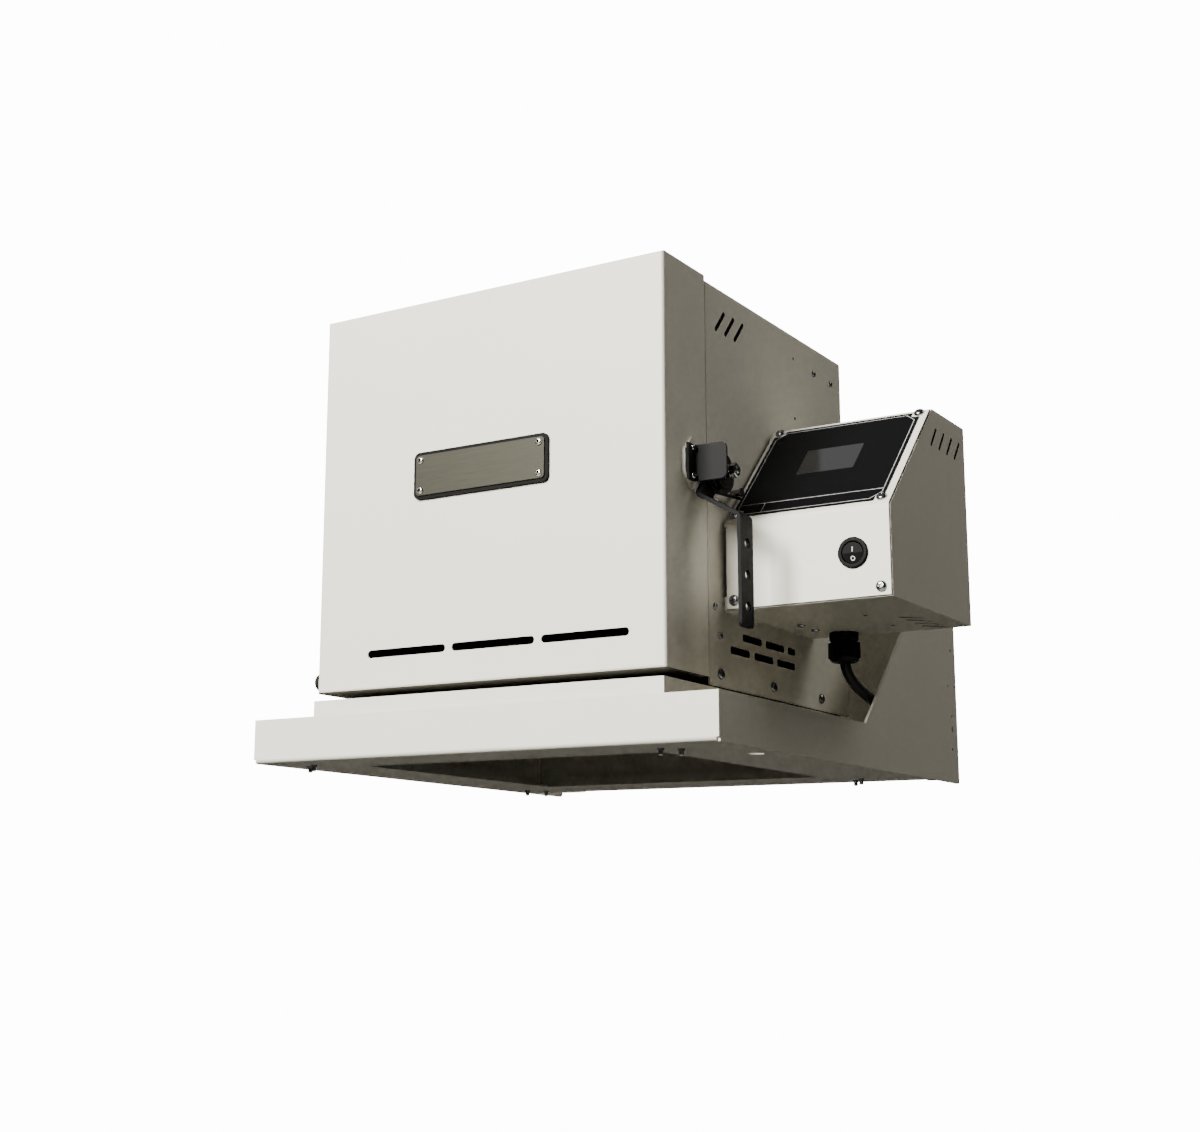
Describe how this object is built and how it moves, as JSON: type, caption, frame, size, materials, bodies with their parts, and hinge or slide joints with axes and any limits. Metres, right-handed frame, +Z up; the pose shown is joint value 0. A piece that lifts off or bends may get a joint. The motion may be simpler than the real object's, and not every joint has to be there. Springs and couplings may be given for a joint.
{
  "type": "vitrigraph kiln",
  "caption": "Wall-hung glass-pulling kiln with a hinged front door, a side control box with a sloping panel, a sprung door lever and a gusseted wall bracket.",
  "frame": {"origin": "centre of the four wall bolts, on the wall face", "axes": "+Z up, +Y into the wall, +X to the right as seen from the front"},
  "size_m": [0.5061, 0.4646, 0.3708],
  "materials": {
    "powder_coat": "fine textured warm grey powder coat",
    "black_coat": "satin black",
    "zinc": "bright zinc plate",
    "bare_steel": "plain mill finish",
    "badge_metal": "brushed",
    "fibre_board": "matte fibre board",
    "element_alloy": "oxidised",
    "porcelain": "unglazed",
    "rubber_black": "matte",
    "film_black": "satin film",
    "screen_glass": "gloss dark",
    "board_green": "solder mask",
    "plastic_black": "fine matte",
    "plastic_white": "matte",
    "brass": "plain"
  },
  "bodies": {
    "kiln_body": {"base_tray": "powder_coat", "gusset_right": "powder_coat", "gusset_left": "powder_coat", "back_plate": "powder_coat", "collar": "powder_coat", "body_standoffs": "zinc", "tray_studs": "zinc", "body_shell": "powder_coat", "rear_cover": "powder_coat", "bottom_pan": "bare_steel", "front_frame": "bare_steel", "body_screws": "zinc", "insulation_floor": "fibre_board", "insulation_roof": "fibre_board", "insulation_left": "fibre_board", "insulation_right": "fibre_board", "insulation_rear": "fibre_board", "heating_element": "element_alloy", "thermocouple": "porcelain", "thermocouple_block": "porcelain", "hinge_body_leaves": "powder_coat", "hinge_pins": "zinc", "hinge_body_screws": "zinc", "control_case": "powder_coat", "control_panel": "powder_coat", "panel_screws": "zinc", "display_overlay": "film_black", "display_glass": "screen_glass", "controller_board": "board_green", "board_posts": "plastic_white", "relay": "plastic_black", "terminal_block": "plastic_white", "switch_body": "plastic_black", "gland_body": "plastic_black", "gland_nut": "plastic_black", "gland_locknut": "plastic_black", "power_cord_lead": "rubber_black", "cord_coil": "rubber_black", "power_cord_tail": "rubber_black", "plug_body": "rubber_black", "plug_blades": "brass"},
    "door": {"door_shell": "powder_coat", "door_liner": "bare_steel", "door_board": "fibre_board", "nameplate_backing": "plastic_black", "nameplate": "badge_metal", "nameplate_rivets": "zinc", "door_bumper": "rubber_black", "hinge_door_leaves": "powder_coat", "hinge_door_screws": "zinc", "latch_plate": "powder_coat", "latch_stop": "black_coat", "latch_screws": "zinc", "latch_spring": "black_coat", "latch_bolt": "zinc", "latch_nuts": "zinc", "spring_anchor": "zinc"},
    "lever": {"latch_lever": "black_coat", "latch_hub": "black_coat"},
    "rocker": {"switch_rocker": "plastic_black"}
  },
  "joints": [
    {"name": "door_hinge", "type": "hinge", "parent": "kiln_body", "child": "door", "pos_m": [-0.1601, -0.3869, 0.1005], "axis": [0, 0, -1], "range_deg": [0, 178]},
    {"name": "lever_pivot", "type": "hinge", "parent": "door", "child": "lever", "pos_m": [0.174, -0.3877, 0.0987], "axis": [-1, 0, 0], "range_deg": [0, 10.5], "stiffness_Nm_per_rad": 1.6, "springref_deg": -8.59},
    {"name": "rocker_pivot", "type": "hinge", "parent": "kiln_body", "child": "rocker", "pos_m": [0.26765, -0.3615, 0.032], "axis": [-1, 0, 0], "range_deg": [0, 14]}
  ]
}
